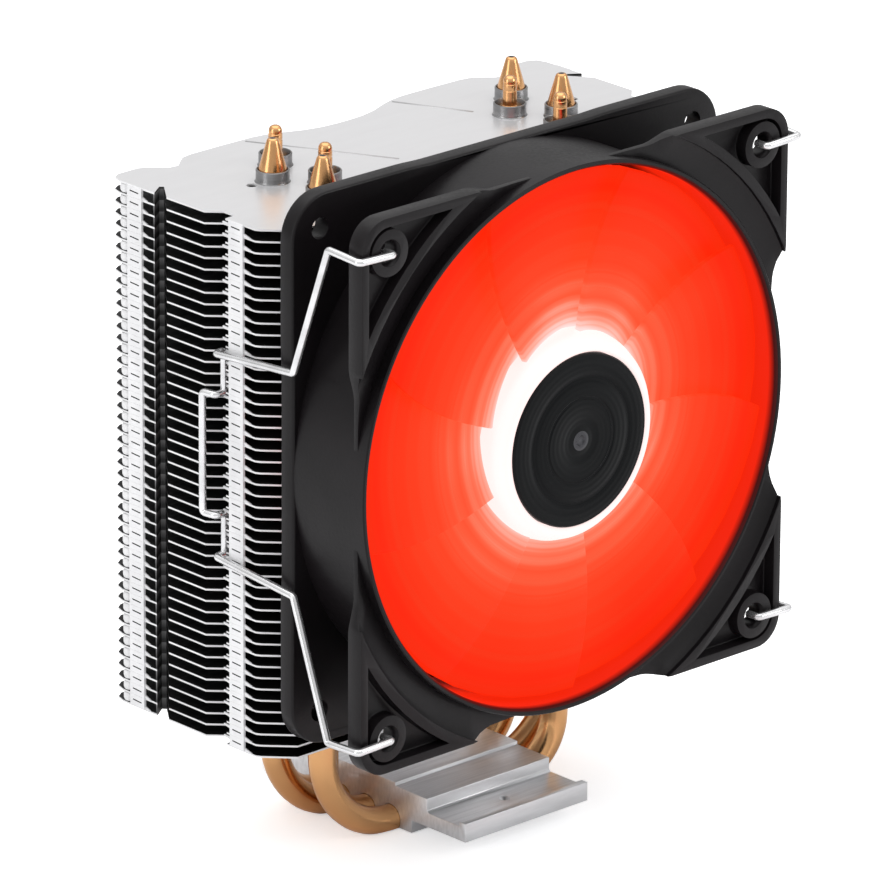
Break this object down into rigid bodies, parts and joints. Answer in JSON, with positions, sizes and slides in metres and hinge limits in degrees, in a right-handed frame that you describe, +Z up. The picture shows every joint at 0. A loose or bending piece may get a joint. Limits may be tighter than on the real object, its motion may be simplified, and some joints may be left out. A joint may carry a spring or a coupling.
{
  "type": "cpu tower cooler",
  "caption": "Finned tower heat sink on copper heat pipes with a direct-touch base and a red-lit square fan held on by wire clips.",
  "frame": {"origin": "middle of the base's contact face, where it meets the processor", "axes": "+Z up along the heat pipes' legs, +X along the fan's width, the fan draws air in from -Y and blows it towards +Y"},
  "size_m": [0.1266, 0.0855, 0.1532],
  "materials": {
    "fin_aluminium": "bright rolled sheet",
    "base_aluminium": "satin extruded and milled",
    "pipe_copper": "drawn and polished copper",
    "frame_plastic": "black, fine satin",
    "blade_plastic": "translucent, lit red from behind",
    "cap_plastic": "black with fine turned rings",
    "motor_steel": "pressed steel",
    "magnet": "bonded ferrite",
    "winding": "enamelled copper wire",
    "bearing_bronze": "sintered bronze",
    "board": "solder resist",
    "led_lens": "moulded lens",
    "clip_steel": "bright spring wire"
  },
  "bodies": {
    "cooler": {"base_block": "base_aluminium", "heat_pipe_1": "pipe_copper", "heat_pipe_2": "pipe_copper", "heat_pipe_3": "pipe_copper", "heat_pipe_4": "pipe_copper", "fin_pair_01": "fin_aluminium", "fin_pair_02": "fin_aluminium", "fin_pair_03": "fin_aluminium", "fin_pair_04": "fin_aluminium", "fin_pair_05": "fin_aluminium", "fin_pair_06": "fin_aluminium", "fin_pair_07": "fin_aluminium", "fin_pair_08": "fin_aluminium", "fin_pair_09": "fin_aluminium", "fin_pair_10": "fin_aluminium", "fin_pair_11": "fin_aluminium", "fin_pair_12": "fin_aluminium", "fin_pair_13": "fin_aluminium", "fin_pair_14": "fin_aluminium", "fin_pair_15": "fin_aluminium", "fin_pair_16": "fin_aluminium", "fin_pair_17": "fin_aluminium", "fin_pair_18": "fin_aluminium", "fin_pair_19": "fin_aluminium", "fin_pair_20": "fin_aluminium", "fin_pair_21": "fin_aluminium", "fin_pair_22": "fin_aluminium", "fin_pair_23": "fin_aluminium", "top_fin": "fin_aluminium", "fan_frame": "frame_plastic", "stator_core": "motor_steel", "stator_coil_1": "winding", "stator_coil_2": "winding", "stator_coil_3": "winding", "stator_coil_4": "winding", "bearing_sleeve": "bearing_bronze", "circuit_board": "board", "led_1": "led_lens", "led_2": "led_lens", "led_3": "led_lens", "led_4": "led_lens"},
    "rotor": {"impeller": "blade_plastic", "hub_cap": "cap_plastic", "rotor_yoke": "motor_steel", "magnet_ring": "magnet", "rotor_shaft": "motor_steel", "shaft_retainer": "frame_plastic"},
    "clip_left": {"clip_left": "clip_steel"},
    "clip_right": {"clip_right": "clip_steel"}
  },
  "joints": [
    {"name": "fan_spin", "type": "hinge", "parent": "cooler", "child": "rotor", "pos_m": [0, -0.03625, 0.0925], "axis": [0, 1, 0], "continuous": true},
    {"name": "clip_left_play", "type": "hinge", "parent": "cooler", "child": "clip_left", "pos_m": [-0.0595, -0.00625, 0.0925], "axis": [0, 0, -1], "range_deg": [0, 1.5]},
    {"name": "clip_right_play", "type": "hinge", "parent": "cooler", "child": "clip_right", "pos_m": [0.0595, -0.00625, 0.0925], "axis": [0, 0, 1], "range_deg": [0, 1.5]}
  ]
}
